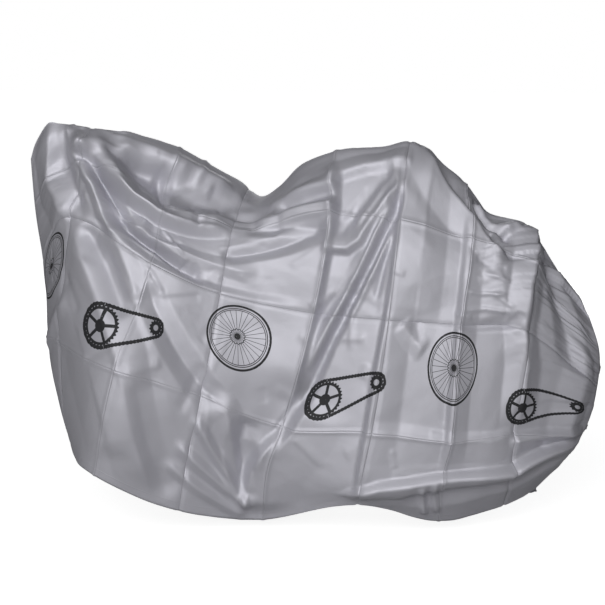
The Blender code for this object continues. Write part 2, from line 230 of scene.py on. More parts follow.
# %% Folds of the near side
FOLDS = (
    # what it is, path, lift, spread, crisp
    # fanning down the front from the front support
    ("fan ridge", ((0.095, 0.02), (0.143, 0.21), (0.176, 0.33), (0.209, 0.44), (0.25, 0.53)),
     (0.026, 0.030, 0.022), (0.050, 0.070), 1.0),
    ("fan hollow", ((0.14, 0.10), (0.20, 0.27), (0.24, 0.38), (0.30, 0.50)),
     (-0.014, -0.014, -0.012), (0.040, 0.040), 0.6),
    ("second ridge", ((0.15, 0.02), (0.18, 0.083), (0.264, 0.237), (0.303, 0.33)),
     (0.016, 0.014, 0.010), (0.024, 0.040), 0.9),
    ("third ridge",
     ((0.18, 0.03), (0.237, 0.143), (0.275, 0.22), (0.319, 0.33), (0.358, 0.435), (0.40, 0.51)),
     (0.020, 0.026, 0.020), (0.028, 0.034), 1.0),
    ("dark cleft", ((0.25, 0.13), (0.30, 0.20), (0.35, 0.28), (0.39, 0.36), (0.39, 0.45)),
     (-0.036, -0.042, -0.028), (0.045, 0.055), 0.8),
    ("front crease", ((0.28, 0.33), (0.265, 0.42), (0.25, 0.52)),
     (-0.006, -0.006, -0.006), (0.020, 0.020), 1.0),
    # the sagging roll from the front support to the middle one, and the creases over it
    ("shoulder roll",
     ((0.20, 0.06), (0.248, 0.138), (0.33, 0.21), (0.407, 0.255), (0.506, 0.25), (0.62, 0.235), (0.78, 0.21)),
     (0.050, 0.060, 0.020), (0.100, 0.030), 0.6),
    ("roll seam", ((0.29, 0.13), (0.374, 0.121), (0.473, 0.105), (0.53, 0.115)),
     (-0.020, -0.020, -0.018), (0.016, 0.050), 0.8),
    ("top hollow", ((0.34, 0.11), (0.51, 0.13), (0.68, 0.13), (0.86, 0.16)),
     (-0.036, -0.030, -0.022), (0.060, 0.060), 0.6),
    ("dip roll", ((0.22, 0.05), (0.36, 0.065), (0.50, 0.06), (0.72, 0.07)),
     (0.010, 0.018, 0.020), (0.030, 0.040), 0.8),
    ("dip facet", ((0.32, 0.095), (0.45, 0.08), (0.56, 0.08)), (0.014, 0.014, 0.010), (0.025, 0.035), 1.0),
    ("dip notch", ((0.47, 0.08), (0.485, 0.135), (0.51, 0.22)),
     (-0.014, -0.018, -0.014), (0.020, 0.026), 0.8),
    ("dip crumple", ((0.48, 0.165), (0.56, 0.125), (0.65, 0.09)), (0.014, 0.012, 0.010), (0.022, 0.024), 1.0),
    ("second dip crumple", ((0.48, 0.21), (0.60, 0.165), (0.72, 0.135), (0.82, 0.11)),
     (0.011, 0.010, 0.008), (0.022, 0.022), 1.0),
    ("third dip crumple", ((0.52, 0.215), (0.66, 0.185), (0.76, 0.17), (0.87, 0.16)),
     (0.009, 0.016, 0.012), (0.024, 0.024), 1.0),
    # across the waist of the front panel
    ("waist ridge",
     ((0.36, 0.465), (0.43, 0.487), (0.495, 0.500), (0.60, 0.500), (0.75, 0.495), (0.98, 0.492)),
     (0.020, 0.014, 0.008), (0.030, 0.085), 0.9),
    ("waist trough", ((0.37, 0.44), (0.43, 0.43), (0.495, 0.43), (0.58, 0.455), (0.70, 0.48)),
     (-0.030, -0.036, -0.016), (0.055, 0.024), 0.7),
    ("waist brow", ((0.44, 0.40), (0.50, 0.372), (0.572, 0.363), (0.70, 0.38), (0.85, 0.40)),
     (0.012, 0.010, 0.010), (0.045, 0.045), 0.8),
    ("star crease", ((0.37, 0.49), (0.42, 0.42), (0.45, 0.36), (0.46, 0.27)),
     (0.010, 0.020, 0.010), (0.030, 0.030), 0.9),
    # rays of the star where the film is caught on the front
    ("star ray", ((0.37, 0.455), (0.43, 0.54), (0.50, 0.625)), (0.010, 0.016, 0.012), (0.045, 0.040), 1.0),
    ("second star ray", ((0.36, 0.46), (0.34, 0.52), (0.33, 0.60)),
     (-0.008, -0.010, -0.008), (0.040, 0.040), 1.0),
    # the lower front side
    ("belly edge", ((0.24, 0.68), (0.363, 0.748), (0.44, 0.84), (0.50, 0.925), (0.56, 1.03)),
     (0.014, 0.020, 0.014), (0.070, 0.110), 0.8),
    ("front belly", ((0.26, 0.52), (0.319, 0.583), (0.495, 0.77), (0.572, 0.913), (0.67, 1.08)),
     (0.026, 0.030, 0.020), (0.080, 0.090), 0.8),
    ("front dip", ((0.29, 0.51), (0.38, 0.58), (0.48, 0.68)), (-0.018, -0.020, -0.014), (0.040, 0.040), 0.7),
    ("print dip", ((0.50, 0.56), (0.55, 0.616), (0.65, 0.70), (0.75, 0.78), (0.83, 0.815)),
     (-0.018, -0.020, -0.022), (0.050, 0.050), 0.9),
    ("low dip", ((0.55, 0.80), (0.62, 0.93), (0.72, 1.08)), (-0.010, -0.010, -0.010), (0.080, 0.045), 0.7),
    ("front hem line", ((0.12, 0.84), (0.165, 0.80), (0.253, 0.726), (0.30, 0.70)),
     (0.008, 0.010, 0.008), (0.030, 0.030), 1.0),
    # the hem pinched at one point
    ("dim facet edge", ((0.75, 0.80), (0.80, 0.815), (0.83, 0.814), (0.88, 0.90), (0.944, 1.05)),
     (0.010, 0.016, 0.014), (0.050, 0.040), 1.0),
    ("slack hollow", ((0.90, 0.80), (0.90, 0.88), (0.93, 0.96), (0.945, 1.05)),
     (-0.018, -0.028, -0.024), (0.050, 0.055), 0.7),
    ("pinch ridge", ((0.70, 0.93), (0.7325, 0.94), (0.84, 0.995), (0.96, 1.065)),
     (0.012, 0.016, 0.016), (0.022, 0.026), 1.0),
    ("second pinch ridge", ((0.73, 0.855), (0.76, 0.869), (0.85, 0.95), (0.955, 1.06)),
     (0.014, 0.016, 0.016), (0.022, 0.022), 1.0),
    ("third pinch ridge", ((0.68, 0.98), (0.80, 1.03), (0.96, 1.09)),
     (0.010, 0.012, 0.012), (0.020, 0.024), 1.0),
    ("pinch edge", ((1.05, 0.70), (1.005, 0.82), (0.972, 0.89), (0.950, 0.97), (0.94, 1.08)),
     (0.026, 0.030, 0.034), (0.150, 0.024), 1.0),
    # the pleat under the middle support
    ("pleat edge", ((0.99, 0.04), (1.003, 0.11), (1.008, 0.20), (1.000, 0.33), (1.002, 0.50), (1.00, 0.74)),
     (0.030, 0.024, 0.022), (0.020, 0.160), 0.9),
    ("pointed fold", ((0.80, 0.185), (0.859, 0.180), (0.94, 0.178), (1.03, 0.180)),
     (0.010, 0.020, 0.024), (0.020, 0.034), 1.0),
    ("second pointed fold", ((0.83, 0.125), (0.86, 0.120), (0.99, 0.127), (1.02, 0.13)),
     (0.008, 0.014, 0.012), (0.024, 0.020), 1.0),
    ("nose dip", ((0.86, 0.145), (0.93, 0.155), (1.02, 0.150)),
     (-0.014, -0.018, -0.014), (0.024, 0.022), 0.8),
    ("soft trough", ((0.73, 0.345), (0.77, 0.33), (0.892, 0.29), (1.01, 0.235)),
     (-0.014, -0.022, -0.016), (0.050, 0.040), 0.7),
    ("soft dip", ((0.78, 0.20), (0.88, 0.22), (0.99, 0.245)), (-0.008, -0.014, -0.014), (0.035, 0.035), 0.7),
    # the film dragged from the middle support towards the pinch
    ("peak side", ((0.97, 0.12), (1.002, 0.105), (1.09, 0.083), (1.17, 0.075), (1.28, 0.072)),
     (0.016, 0.018, 0.016), (0.040, 0.020), 0.9),
    ("pouch",
     ((1.27, 0.105), (1.244, 0.121), (1.178, 0.165), (1.14, 0.22),
      (1.112, 0.27), (1.068, 0.30), (0.98, 0.303)),
     (0.022, 0.024, 0.028), (0.020, 0.080), 0.9),
    ("pouch streak", ((1.21, 0.10), (1.15, 0.12), (1.09, 0.18), (1.02, 0.28)),
     (-0.012, -0.010, -0.010), (0.028, 0.028), 0.8),
    ("pouch line", ((1.23, 0.115), (1.18, 0.14), (1.14, 0.185), (1.10, 0.245)),
     (-0.010, -0.008, -0.006), (0.018, 0.018), 0.9),
    ("drag trough",
     ((1.245, 0.12), (1.19, 0.26), (1.134, 0.385), (1.10, 0.48),
      (1.068, 0.572), (1.035, 0.726), (0.98, 0.90)),
     (-0.022, -0.024, -0.026), (0.026, 0.030), 0.9),
    ("drag ridge",
     ((1.24, 0.11), (1.2275, 0.143), (1.167, 0.242), (1.112, 0.374), (1.068, 0.495), (1.02, 0.66)),
     (0.018, 0.024, 0.022), (0.022, 0.036), 1.0),
    ("left drag trough", ((1.19, 0.17), (1.156, 0.22), (1.123, 0.33), (1.08, 0.42), (1.01, 0.54)),
     (-0.010, -0.014, -0.012), (0.026, 0.026), 0.9),
    ("second drag trough", ((1.248, 0.13), (1.228, 0.22), (1.205, 0.34), (1.19, 0.46)),
     (-0.014, -0.012, -0.008), (0.018, 0.020), 0.8),
    ("second drag ridge", ((1.248, 0.15), (1.236, 0.20), (1.20, 0.286), (1.15, 0.41), (1.10, 0.53)),
     (0.012, 0.014, 0.010), (0.020, 0.022), 1.0),
    ("peak drop",
     ((1.26, 0.03), (1.255, 0.12), (1.253, 0.22), (1.244, 0.44), (1.233, 0.66), (1.24, 0.88), (1.252, 1.02)),
     (0.020, 0.026, 0.020), (0.090, 0.018), 1.0),
    ("band edge", ((1.335, 0.03), (1.3375, 0.20), (1.338, 0.36), (1.34, 0.52)),
     (0.010, 0.014, 0.010), (0.080, 0.080), 1.0),
    ("white wedge", ((1.29, 0.50), (1.33, 0.54), (1.38, 0.58)), (0.008, 0.010, 0.008), (0.040, 0.040), 1.0),
    # the rear: one layer lapped over the other, and the corner of the rear support
    ("lapped edge", ((1.30, 0.02), (1.36, 0.07), (1.459, 0.115), (1.514, 0.143), (1.591, 0.20), (1.66, 0.24)),
     (0.020, 0.026, 0.022), (0.020, 0.080), 0.9),
    ("rear pocket", ((1.53, 0.06), (1.60, 0.12), (1.67, 0.13)),
     (-0.024, -0.026, -0.024), (0.036, 0.028), 0.8),
    ("pocket facet", ((1.56, 0.17), (1.62, 0.14), (1.69, 0.05)), (0.018, 0.018, 0.018), (0.026, 0.018), 1.0),
    ("rear panel edge",
     ((1.50, 0.10), (1.4865, 0.16), (1.4865, 0.33), (1.494, 0.44), (1.4865, 0.66), (1.494, 0.93)),
     (0.012, 0.016, 0.014), (0.070, 0.018), 1.0),
    ("rear side", ((1.61, 0.22), (1.64, 0.34), (1.67, 0.48)), (0.010, 0.010, 0.010), (0.100, 0.090), 0.6),
    ("rear corner",
     ((1.735, -0.03), (1.742, 0.10), (1.745, 0.165), (1.734, 0.33),
      (1.729, 0.484), (1.754, 0.60), (1.765, 0.80)),
     (0.030, 0.030, 0.022), (0.050, 0.070), 1.0),
    ("rear strip", ((1.79, 0.01), (1.83, 0.16), (1.86, 0.36), (1.88, 0.54)),
     (-0.022, -0.022, -0.020), (0.060, 0.045), 0.7),
    ("strip ridge", ((1.90, 0.30), (1.915, 0.50), (1.905, 0.68), (1.90, 0.86)),
     (0.014, 0.016, 0.018), (0.040, 0.060), 0.9),
    ("rear crinkle", ((1.50, 0.385), (1.56, 0.39), (1.66, 0.385)),
     (0.004, 0.005, 0.004), (0.012, 0.012), 1.0),
    ("second rear crinkle", ((1.48, 0.455), (1.58, 0.445), (1.68, 0.455)),
     (0.004, 0.005, 0.004), (0.012, 0.012), 1.0),
    ("rear fold", ((1.47, 0.50), (1.56, 0.508), (1.66, 0.505), (1.73, 0.48)),
     (-0.008, -0.008, -0.008), (0.030, 0.014), 1.0),
    # the lower rear edge, turned under
    ("lower rear fold", ((1.22, 0.795), (1.40, 0.797), (1.55, 0.803), (1.668, 0.812), (1.78, 0.80)),
     (0.008, 0.012, 0.012), (0.030, 0.080), 1.0),
    ("turned edge",
     ((1.18, 1.02), (1.25, 0.96), (1.30, 0.942), (1.503, 0.934),
      (1.745, 0.930), (1.866, 0.869), (1.99, 0.825)),
     (0.022, 0.030, 0.034), (0.024, 0.070), 1.0),
    ("tail ridge", ((1.73, 0.83), (1.86, 0.80), (1.98, 0.785)), (0.020, 0.020, 0.012), (0.030, 0.050), 0.9),
    ("belly dip", ((1.36, 1.01), (1.60, 0.99), (1.75, 0.975), (1.92, 0.90)),
     (-0.018, -0.018, -0.018), (0.035, 0.045), 0.7),
    ("pucker", ((1.43, 0.94), (1.44, 1.00), (1.45, 1.08)), (0.010, 0.010, 0.010), (0.016, 0.016), 1.0),
    ("second pucker", ((1.47, 0.935), (1.48, 1.00), (1.49, 1.07)),
     (0.009, 0.010, 0.009), (0.016, 0.016), 1.0),
)

# %% Folds of the far side
FAR_FOLDS = (
    # the same, with a lift for each end only
    ("far front ridge", ((0.12, -0.08), (0.18, -0.35), (0.26, -0.70)), (0.026, 0.016), (0.055, 0.070), 0.8),
    ("far dip trough", ((0.50, -0.10), (0.48, -0.35), (0.42, -0.75)), (-0.034, -0.022), (0.075, 0.080), 0.6),
    ("far dip ridge", ((0.74, -0.05), (0.70, -0.30), (0.62, -0.66)),
     (0.030, 0.018), (0.050, 0.060), 0.9),
    ("far second trough", ((0.77, -0.12), (0.77, -0.34), (0.76, -0.62)),
     (-0.026, -0.020), (0.045, 0.045), 0.6),
    ("far second ridge", ((0.80, -0.05), (0.86, -0.32), (0.96, -0.66)), (0.030, 0.018), (0.050, 0.060), 0.9),
    ("far nose ridge", ((1.12, -0.10), (1.06, -0.30), (0.92, -0.48)), (0.022, 0.014), (0.050, 0.055), 0.8),
    ("far drag trough", ((1.23, -0.08), (1.16, -0.36), (1.02, -0.82)), (-0.034, -0.024), (0.060, 0.060), 0.7),
    ("far peak ridge", ((1.27, -0.08), (1.30, -0.40), (1.30, -0.88)), (0.028, 0.016), (0.060, 0.065), 0.9),
    ("far rear trough", ((1.60, -0.05), (1.58, -0.24), (1.50, -0.56)), (-0.030, -0.018), (0.050, 0.050), 0.7),
    ("far rear ridge", ((1.74, -0.04), (1.77, -0.28), (1.73, -0.64)), (0.030, 0.016), (0.055, 0.070), 0.9),
    ("far rear drag", ((1.96, -0.34), (1.74, -0.64), (1.46, -0.98)), (-0.018, -0.024), (0.060, 0.060), 0.7),
    ("far pinch front", ((0.60, -1.06), (0.52, -0.88), (0.38, -0.70)), (0.024, 0.014), (0.045, 0.050), 0.9),
    ("far pinch hollow", ((0.63, -1.07), (0.63, -0.90), (0.62, -0.72)),
     (-0.032, -0.018), (0.045, 0.045), 0.6),
    ("far pinch rear", ((0.66, -1.06), (0.76, -0.88), (0.88, -0.70)), (0.024, 0.014), (0.045, 0.050), 0.9),
)
END_FADE = 0.14
print("folds: %d on the near side, %d on the far one" % (len(FOLDS), len(FAR_FOLDS)))


# %% Lift of a fold
def from_path(path, along, down):
    """Distance of each grid point from a path, positive on its right, and the share of the path run."""
    grid = np.stack(np.meshgrid(along, down, indexing="ij"), axis=-1)
    path = np.array(path, float)
    legs = np.diff(path, axis=0)
    lengths = np.linalg.norm(legs, axis=1)
    starts = np.concatenate([[0.0], np.cumsum(lengths)])
    nearest = np.full(grid.shape[:2], np.inf)
    signed = np.zeros(grid.shape[:2])
    run = np.zeros(grid.shape[:2])
    for leg, length, start, corner in zip(legs, lengths, starts, path):
        offset = grid - corner
        t = np.clip(offset @ leg / length**2, 0.0, 1.0)
        distance = np.linalg.norm(offset - t[..., None] * leg, axis=2)
        side = np.sign(leg[0] * offset[..., 1] - leg[1] * offset[..., 0])
        closer = distance < nearest
        nearest = np.where(closer, distance, nearest)
        signed = np.where(closer, side * distance, signed)
        run = np.where(closer, (start + t * length) / starts[-1], run)
    return signed, run


def fold_lift(fold, along, down):
    """How far one fold stands out of the sheet at each grid point."""
    _name, path, lifts, (left, right), crisp = fold
    signed, run = from_path(path, along, down)
    near_crest = np.clip(1 - np.abs(signed) / np.where(signed > 0, right, left), 0.0, 1.0)
    crest = (1 - crisp) * smoothstep(near_crest) + crisp * near_crest
    ends = smoothstep(np.minimum(run, 1 - run) / END_FADE)
    return np.interp(run, np.linspace(0, 1, len(lifts)), lifts) * crest * ends


# %% [markdown]
# ## Packing creases
#
# The bag came folded back and forth to the size of a book. Opened out, it keeps a grid of hard
# creases, and the panels between them stay a little bowed, each its own way. A grid of small heights,
# joined by straight lines, gives the panels. A thin V along each line gives the crease, out and in by
# turns.

# %% Packing creases
CREASE_ROWS = (LEVELS["shoulder"], LEVELS["waist"], LEVELS["skirt"])
CREASE_HALF_WIDTH = 0.009
CREASE_DEPTH = 0.0034
PANEL_BOW = 0.007
PANEL_SEED = 5
WAVER_SIZE = 0.0015
WAVER_STEP = 0.18
WAVER_KNOTS = 40
WAVER_START = 10
print("packing creases: %d across each side and %d along it" % (PACKING_PANELS - 1, len(CREASE_ROWS)))


def waver(at, seed):
    """A slow, small wander of a crease from its straight line."""
    shifts = np.random.default_rng(seed).uniform(-WAVER_SIZE, WAVER_SIZE, WAVER_KNOTS)
    return smooth_curve((np.arange(WAVER_KNOTS) - WAVER_START) * WAVER_STEP, shifts, at)


def in_turn(number):
    """1 and -1 in turn, because a bag folded back and forth is creased out and in."""
    return 1 - 2 * (number % 2)


def crease(away, way):
    """A thin V along a line, out (way 1) or in (way -1), where away is the distance from the line."""
    return way * CREASE_DEPTH * np.clip(1 - away / CREASE_HALF_WIDTH, 0, 1)


def crease_lift(along, down):
    """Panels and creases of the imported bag, on both sides."""
    lines_down = np.array([-FLAT_DROP, *[-row for row in CREASE_ROWS[::-1]], 0.0, *CREASE_ROWS, FLAT_DROP])
    lines_along = np.arange(PACKING_PANELS + 1) * PACKING_PITCH
    corners = (len(lines_along), len(lines_down))
    heights = np.random.default_rng(PANEL_SEED).uniform(-PANEL_BOW, PANEL_BOW, corners)
    # The seams and the top fold stay where they are.
    heights[[0, -1]] = 0.0
    heights[:, len(lines_down) // 2] = 0.0
    across = np.stack([np.interp(along, lines_along, column) for column in heights.T], axis=1)
    panels = np.stack([np.interp(down, lines_down, row) for row in across])
    creases = np.zeros_like(panels)
    for number, place in enumerate(lines_along[1:-1]):
        away = np.abs(along[:, None] - place - waver(down, 20 + number)[None, :])
        creases += crease(away, in_turn(number + 1))
    for side, seed in ((-1, 40), (1, 43)):
        for number, row in enumerate(CREASE_ROWS):
            away = np.abs(down[None, :] - side * row - waver(along, seed + number)[:, None])
            creases += crease(away, in_turn(number))
    return panels + creases


# %% [markdown]
# ## Crumple
#
# Between its folds the film is never quite smooth: it keeps flat little facets that meet in faint
# lines. Noise made of smooth waves would look like rubber. Noise from a tilted grid of small heights,
# joined by straight lines, has the flat facets and the lines.


# %% Crumple
CRUMPLE = (
    # cell, turn, height
    (0.150, 0.4, 0.0040),
    (0.070, -0.6, 0.0014),
    (0.030, 1.1, 0.0004),
)
CRUMPLE_SEED = 70
FACET_TABLE = (160, 160)
FACET_START = 40
print("crumple: flat facets in cells of", [cell for cell, _turn, _height in CRUMPLE], "metres")


def facet_heights(table, a, b):
    """Heights read at column a and row b of a table, with flat three-cornered facets in between."""
    i = np.clip(np.floor(a).astype(int), 0, table.shape[0] - 2)
    j = np.clip(np.floor(b).astype(int), 0, table.shape[1] - 2)
    p = a - i
    q = b - j
    lower = p + q < 1
    corner = np.where(lower, table[i, j], table[i + 1, j + 1])
    first = np.where(lower, table[i + 1, j], table[i, j + 1])
    second = np.where(lower, table[i, j + 1], table[i + 1, j])
    p = np.where(lower, p, 1 - p)
    q = np.where(lower, q, 1 - q)
    return corner + (first - corner) * p + (second - corner) * q


def facets(along, down, cell, turn, seed):
    """Heights from -1 to 1, joined by straight lines over a grid of cells turned on the film."""
    u, v = np.meshgrid(along, down, indexing="ij")
    c, s = math.cos(turn), math.sin(turn)
    a = (c * u + s * v) / cell + FACET_START
    b = (c * v - s * u) / cell + FACET_START
    return facet_heights(np.random.default_rng(seed).uniform(-1, 1, FACET_TABLE), a, b)


def crumple_lift(along, down):
    """Facets of all sizes together."""
    return sum(
        height * facets(along, down, cell, turn, CRUMPLE_SEED + number)
        for number, (cell, turn, height) in enumerate(CRUMPLE)
    )


# %% [markdown]
# ## Short creases
#
# Film that has been handled is full of short, straight creases, here 4 to 16 cm long. None of them has
# to be in one place, so they are strewn by chance instead of being listed. About two thirds run more
# or less along the bag, and the others more or less down it.

# %% Short creases
CRINKLES = 150
CRINKLE_SEED = 11
CRINKLE_AREA = ((0.12, -0.9), (1.84, 0.9))
CRINKLE_TURN = 0.6
CRINKLE_UPRIGHT = 0.35
CRINKLE_HALF_LENGTH = (0.02, 0.08)
CRINKLE_SPREAD = (0.008, 0.030)
CRINKLE_HEIGHT = (0.0012, 0.0042)
CRINKLE_REACH = 0.12
print("short creases: %d" % CRINKLES)


def crinkle_lift(along, down):
    """Short straight creases, strewn over both sides."""
    pick = np.random.default_rng(CRINKLE_SEED)
    lift = np.zeros((len(along), len(down)))
    for _crinkle in range(CRINKLES):
        middle = pick.uniform(*CRINKLE_AREA)
        turn = pick.normal(0.0, CRINKLE_TURN) + (math.pi / 2 if pick.random() < CRINKLE_UPRIGHT else 0.0)
        half = pick.uniform(*CRINKLE_HALF_LENGTH) * np.array((math.cos(turn), math.sin(turn)))
        spread = pick.uniform(*CRINKLE_SPREAD, 2)
        height = pick.choice((-1, 1)) * pick.uniform(*CRINKLE_HEIGHT)
        # Only the film within reach of the crease is worked out.
        near_along = np.abs(along - middle[0]) < CRINKLE_REACH
        near_down = np.abs(down - middle[1]) < CRINKLE_REACH
        crinkle = ("crinkle", (middle - half, middle + half), (height, height), spread, 1.0)
        lift[np.ix_(near_along, near_down)] += fold_lift(crinkle, along[near_along], down[near_down])
    return lift


# %% [markdown]
# ## The whole draped form
#
# All of the relief is one lift, added up first and then moved out along the normals of the smooth
# form. Moving a sheet by each fold in turn would bend every later fold by the earlier ones.

# %% The whole draped form
def draped_form(along, down):
    """The film as it hangs, with its folds and creases: a grid of points."""
    points = smooth_form(along, down)
    lift = crease_lift(along, down) + crumple_lift(along, down) + crinkle_lift(along, down)
    lift += sum(fold_lift(fold, along, down) for fold in FOLDS + FAR_FOLDS)
    # Both sides meet at the seams, so what differs between them fades out there.
    seam = smoothstep(np.minimum(along, FLAT_LENGTH - along) / SEAM_FADE)[:, None]
    return points + outward(points) * (lift * seam)[..., None]


# %% [markdown]
# ## The sheet
#
# The film is far thinner than a pixel, so it is one layer of faces. Only the hem is double: the film
# is turned up inside and welded, which is what stiffens a real hem.

# %% The sheet
def grid_faces(points):
    """The four corners of each face of a grid of points, by number."""
    across, deep = points.shape[:2]
    number = np.arange(across * deep).reshape(across, deep)
    corners = (number[:-1, :-1], number[:-1, 1:], number[1:, 1:], number[1:, :-1])
    return np.stack(corners, axis=-1).reshape(-1, 4)


def film_rows(far, near):
    """Places down the film, from the far hem over the top to the near hem."""
    far_rows = np.linspace(-FLAT_DROP, 0.0, far, endpoint=False)
    return np.concatenate([far_rows, np.linspace(0.0, FLAT_DROP, near + 1)])


along = np.linspace(0.0, FLAT_LENGTH, COLUMNS + 1)
down = film_rows(FAR_ROWS, NEAR_ROWS)
points = draped_form(along, down) - REST_POINT
inward = -outward(points)

turned_down = FLAT_DROP - np.array((0.0, 0.5, 1.0)) * HEM_TURNED


def turned_hem(side):
    """Rows of points for the hem turned up inside, on the near side (1) or the far one (-1)."""
    rows = [np.argmin(np.abs(down - side * place)) for place in turned_down]
    return np.stack([points[:, row] + inward[:, row] * HEM_GAP for row in rows], axis=1)


grid = np.concatenate([turned_hem(-1)[:, ::-1], points, turned_hem(1)], axis=1)
past_hem = FLAT_DROP + HEM_TURNED * np.array((0.01, 0.5, 1.0))
grid_down = np.concatenate([-past_hem[::-1], down, past_hem])
corners = grid_faces(grid)

mesh = bpy.data.meshes.new("cover film")
mesh.from_pydata(grid.reshape(-1, 3).tolist(), [], corners.tolist())
flat_cloth = mesh.uv_layers.new(name="flat cloth")
flat_places = np.stack(np.meshgrid(along, grid_down, indexing="ij"), axis=-1).reshape(-1, 2)
flat_cloth.data.foreach_set("uv", flat_places[corners.ravel()].ravel().astype(np.float32))
mesh.shade_smooth()
cover = bpy.data.objects.new("cover_film", mesh)
bpy.context.scene.collection.objects.link(cover)
diagonals = np.cross(grid[1:, 1:] - grid[:-1, :-1], grid[1:, :-1] - grid[:-1, 1:])
film_area = 0.5 * np.linalg.norm(diagonals, axis=2).sum()
print("film: %d faces, %.2f square metres" % (len(corners), film_area))

# %% Join the two sides along the seams
SAME_PLACE = 0.00005
film = bmesh.new()
film.from_mesh(mesh)
film.verts.ensure_lookup_table()
bmesh.ops.remove_doubles(film, verts=film.verts, dist=SAME_PLACE)
film.to_mesh(mesh)
film.free()
print("film after joining the seams: %d vertices" % len(mesh.vertices))

# %% [markdown]
# ## Silver film
#
# The film is a plastic with fine metal flakes in it, so it shines like satin: half metal, half paint.
# One shader could hold a single colour, but real film has a faint cloudiness, an embossed grain that
# scatters the light and fine crumples that are too small to model. All three come from noise that is
# laid on the flat bag, in metres, so nothing stretches where the film hangs.

# %% Small helpers for shader nodes
silver = bpy.data.materials.new("silver film")
silver.use_nodes = True
tree = silver.node_tree
shader = tree.nodes["Principled BSDF"]


class Value:
    """A number that changes over the film, written as plain arithmetic and built from math nodes."""

    def __init__(self, socket):
        self.socket = socket

    def math(self, operation, *others):
        node = tree.nodes.new("ShaderNodeMath")
        node.operation = operation
        for slot, value in enumerate((self, *others)):
            if isinstance(value, Value):
                tree.links.new(value.socket, node.inputs[slot])
            else:
                node.inputs[slot].default_value = value
        return Value(node.outputs[0])

    def __add__(self, other):
        return self.math("ADD", other)

    def __sub__(self, other):
        return self.math("SUBTRACT", other)

    def __mul__(self, other):
        return self.math("MULTIPLY", other)

    def __truediv__(self, other):
        return self.math("DIVIDE", other)

    def size(self):
        return self.math("ABSOLUTE")

    def less(self, other):
        return self.math("MINIMUM", other)

    def more(self, other):
        return self.math("MAXIMUM", other)

    def rest(self):
        """What is left of 1, for a share from 0 to 1."""
        return self.math("SUBTRACT", 1.0).size()

    def below(self, limit, softness):
        """1 where this is under limit, 0 over it, with a soft edge."""
        return ((self - limit) * (-1 / softness) + 0.5).math("MAXIMUM", 0.0).math("MINIMUM", 1.0)


def longest(x, y):
    """Length of the sideways step (x, y)."""
    return (x * x + y * y).math("SQRT")


place = tree.nodes.new("ShaderNodeUVMap")
place.uv_map = "flat cloth"
split = tree.nodes.new("ShaderNodeSeparateXYZ")
tree.links.new(place.outputs[0], split.inputs[0])
film_along = Value(split.outputs[0])
film_down = Value(split.outputs[1])


def noise(scale, detail=3.0, roughness=0.5, distortion=0.0):
    """Cloudy noise from 0 to 1, with scale waves to the metre."""
    node = tree.nodes.new("ShaderNodeTexNoise")
    node.inputs["Scale"].default_value = scale
    node.inputs["Detail"].default_value = detail
    node.inputs["Roughness"].default_value = roughness
    node.inputs["Distortion"].default_value = distortion
    tree.links.new(place.outputs[0], node.inputs["Vector"])
    return Value(node.outputs[0])


def crackle(scale):
    """Distance to the edge of the nearest of many cells, scale of them to the metre."""
    node = tree.nodes.new("ShaderNodeTexVoronoi")
    node.feature = "DISTANCE_TO_EDGE"
    node.inputs["Scale"].default_value = scale
    tree.links.new(place.outputs[0], node.inputs["Vector"])
    return Value(node.outputs["Distance"])


# %% [markdown]
# ## Printed row
#
# A row of black motifs runs round the bag, about two thirds of the way down. It could be a picture,
# but a shape that is worked out from the place on the film stays sharp at any size. There are two
# motifs in turn: a spoked wheel, and a chain drive with its two toothed rings. Each is drawn with
# distances: black where the distance to a line is smaller than half the line's width.

# %% Where each motif sits
PRINT_DOWN = 0.65
PRINT_PITCH = 1 / 3
PRINT_STAGGER = 0.040
EDGE = 0.0007

turn = film_along / PRINT_PITCH
which = turn.math("FLOOR")
odd = which.math("MODULO", 2.0)
motif_x = (turn - which - 0.5) * PRINT_PITCH
motif_y = film_down.size() - PRINT_DOWN - (odd - 0.5) * (2 * PRINT_STAGGER)


def line_at(distance, width):
    """A line of a width, where distance is 0 on its middle."""
    return distance.size().below(width / 2, EDGE)


def turned(x, y, angle):
    """The place (x, y), read on axes turned by angle."""
    c, s = math.cos(angle), math.sin(angle)
    return x * c + y * s, y * c - x * s


def teeth(x, y, count, radius, depth):
    """Distance past a toothed rim."""
    waves = y.math("ARCTAN2", x) * count
    return longest(x, y) - radius - waves.math("SINE") * (depth / 2)


def ray_fan(x, y, count):
    """Sideways distance to the nearest of count rays from the middle."""
    bend = y.math("ARCTAN2", x) * (count / (2 * math.pi))
    off = (bend - bend.math("ROUND")) * (2 * math.pi / count)
    return off.math("SINE") * longest(x, y)


# %% The spoked wheel
WHEEL = 0.088
WHEEL_SHIFT = -0.015
TYRE_WIDTH = 0.0060
TREAD_IN, TREAD_WIDTH = 0.0080, 0.0022
RIM_IN, RIM_WIDTH = 0.0125, 0.0020
SPOKES, SPOKE_WIDTH = 28, 0.0013
HUB, HUB_HOLE = 0.0085, 0.0035
SPROCKET, SPROCKET_TEETH, SPROCKET_WIDTH = 0.0200, 16, 0.0026
wheel_x = motif_x - WHEEL_SHIFT
from_hub = longest(wheel_x, motif_y)
tyre = line_at(from_hub - WHEEL, TYRE_WIDTH)
tread = line_at(from_hub - (WHEEL - TREAD_IN), TREAD_WIDTH)
rim = line_at(from_hub - (WHEEL - RIM_IN), RIM_WIDTH)
inside_rim = from_hub.below(WHEEL - RIM_IN, EDGE)
spoke = line_at(ray_fan(wheel_x, motif_y, SPOKES), SPOKE_WIDTH) * inside_rim
hub = from_hub.below(HUB, EDGE) - from_hub.below(HUB_HOLE, EDGE)
sprocket = line_at(teeth(wheel_x, motif_y, SPROCKET_TEETH, SPROCKET, 0.003), SPROCKET_WIDTH)
